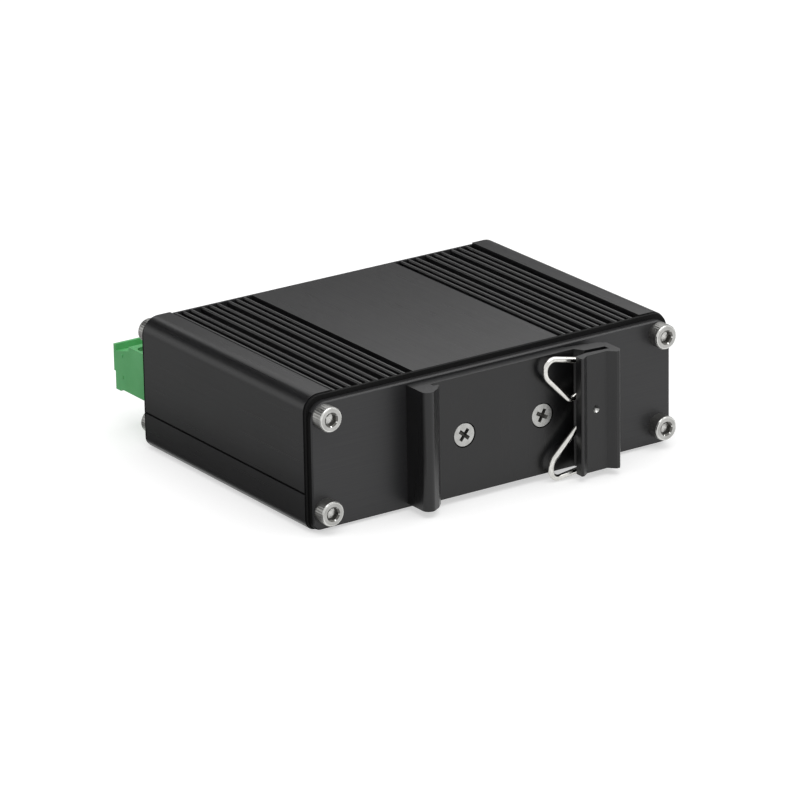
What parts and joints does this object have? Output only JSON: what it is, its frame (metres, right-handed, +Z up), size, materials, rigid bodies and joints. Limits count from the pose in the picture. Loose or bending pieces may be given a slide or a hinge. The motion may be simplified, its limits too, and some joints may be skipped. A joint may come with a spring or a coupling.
{
  "type": "ethernet media converter",
  "caption": "Copper-to-fibre network converter in a ribbed dark aluminium housing that lies flat, with a rail clip at the rear and a pull-off screw terminal plug in front.",
  "frame": {"origin": "middle of the whole object's outline, at the underside of the housing", "axes": "+X across the width, +Y out of the front panel, with the rail clip at the -Y end, +Z up"},
  "size_m": [0.094, 0.0922, 0.03],
  "materials": {
    "shell_anodised": "dark anodised, fine extrusion lines",
    "panel_anodised": "dark anodised, fine brushed grain",
    "clip_anodised": "dark anodised extrusion",
    "gasket_rubber": "matte black",
    "screw_steel": "bright plain steel",
    "screw_nickel": "nickel plated",
    "spring_steel": "drawn wire, satin",
    "board_laminate": "green solder resist",
    "light_guide": "clear moulded",
    "lamp_white": "pale lens",
    "shield_tin": "tinned sheet, satin",
    "jack_black": "moulded, fine texture",
    "contact_gold": "gold flash",
    "contact_tin": "tinned",
    "terminal_green": "moulded, satin",
    "chip_black": "moulded, matte",
    "ferrite_grey": "pressed, matte",
    "can_aluminium": "drawn can, satin",
    "fuse_body": "pale, smooth"
  },
  "bodies": {
    "housing": {"upper_shell": "shell_anodised", "lower_shell": "shell_anodised", "rear_panel": "panel_anodised", "front_panel": "panel_anodised", "rear_gasket": "gasket_rubber", "front_gasket": "gasket_rubber", "rear_panel_screws": "screw_steel", "front_panel_screws": "screw_steel", "din_clip": "clip_anodised", "clip_screws": "screw_nickel", "clip_nuts": "screw_steel", "circuit_board": "board_laminate", "light_pipes": "light_guide", "status_lamps": "lamp_white", "rj45_shield": "shield_tin", "rj45_housing": "jack_black", "rj45_contacts": "contact_gold", "sfp_cage": "shield_tin", "sfp_connector": "jack_black", "terminal_header": "terminal_green", "header_pins": "contact_tin", "switch_chip": "chip_black", "network_transformer": "chip_black", "power_inductor": "ferrite_grey", "power_chip": "chip_black", "crystal": "can_aluminium", "capacitors": "can_aluminium", "fuse": "fuse_body"},
    "plug": {"plug_housing": "terminal_green", "plug_contacts": "contact_tin"},
    "spring": {"wire_spring": "spring_steel"},
    "clamp_screw_1": {"clamp_screw_1": "screw_steel"},
    "clamp_cage_1": {"clamp_cage_1": "contact_tin"},
    "clamp_screw_2": {"clamp_screw_2": "screw_steel"},
    "clamp_cage_2": {"clamp_cage_2": "contact_tin"},
    "clamp_screw_3": {"clamp_screw_3": "screw_steel"},
    "clamp_cage_3": {"clamp_cage_3": "contact_tin"},
    "clamp_screw_4": {"clamp_screw_4": "screw_steel"},
    "clamp_cage_4": {"clamp_cage_4": "contact_tin"}
  },
  "joints": [
    {"name": "plug_slide", "type": "slide", "parent": "housing", "child": "plug", "axis": [0, 1, 0], "range_m": [0, 0.0075]},
    {"name": "spring_press", "type": "slide", "parent": "housing", "child": "spring", "axis": [0.995, -0.0995, 0], "range_m": [0, 0.0012], "stiffness_N_per_m": 2000},
    {"name": "clamp_cage_1_rise", "type": "slide", "parent": "plug", "child": "clamp_cage_1", "axis": [0, 0, 1], "range_m": [0, 0.0016]},
    {"name": "clamp_screw_1_turn", "type": "hinge", "parent": "plug", "child": "clamp_screw_1", "pos_m": [-0.04179, 0.03653, 0.015], "axis": [0, 0, -1], "range_deg": [0, 1440]},
    {"name": "clamp_cage_2_rise", "type": "slide", "parent": "plug", "child": "clamp_cage_2", "axis": [0, 0, 1], "range_m": [0, 0.0016]},
    {"name": "clamp_screw_2_turn", "type": "hinge", "parent": "plug", "child": "clamp_screw_2", "pos_m": [-0.03798, 0.03653, 0.015], "axis": [0, 0, -1], "range_deg": [0, 1440]},
    {"name": "clamp_cage_3_rise", "type": "slide", "parent": "plug", "child": "clamp_cage_3", "axis": [0, 0, 1], "range_m": [0, 0.0016]},
    {"name": "clamp_screw_3_turn", "type": "hinge", "parent": "plug", "child": "clamp_screw_3", "pos_m": [-0.03417, 0.03653, 0.015], "axis": [0, 0, -1], "range_deg": [0, 1440]},
    {"name": "clamp_cage_4_rise", "type": "slide", "parent": "plug", "child": "clamp_cage_4", "axis": [0, 0, 1], "range_m": [0, 0.0016]},
    {"name": "clamp_screw_4_turn", "type": "hinge", "parent": "plug", "child": "clamp_screw_4", "pos_m": [-0.03036, 0.03653, 0.015], "axis": [0, 0, -1], "range_deg": [0, 1440]}
  ],
  "couplings": [
    {"joint": "clamp_screw_1_turn", "follows": "clamp_cage_1_rise", "rad_per_m": 15708},
    {"joint": "clamp_screw_2_turn", "follows": "clamp_cage_2_rise", "rad_per_m": 15708},
    {"joint": "clamp_screw_3_turn", "follows": "clamp_cage_3_rise", "rad_per_m": 15708},
    {"joint": "clamp_screw_4_turn", "follows": "clamp_cage_4_rise", "rad_per_m": 15708}
  ]
}
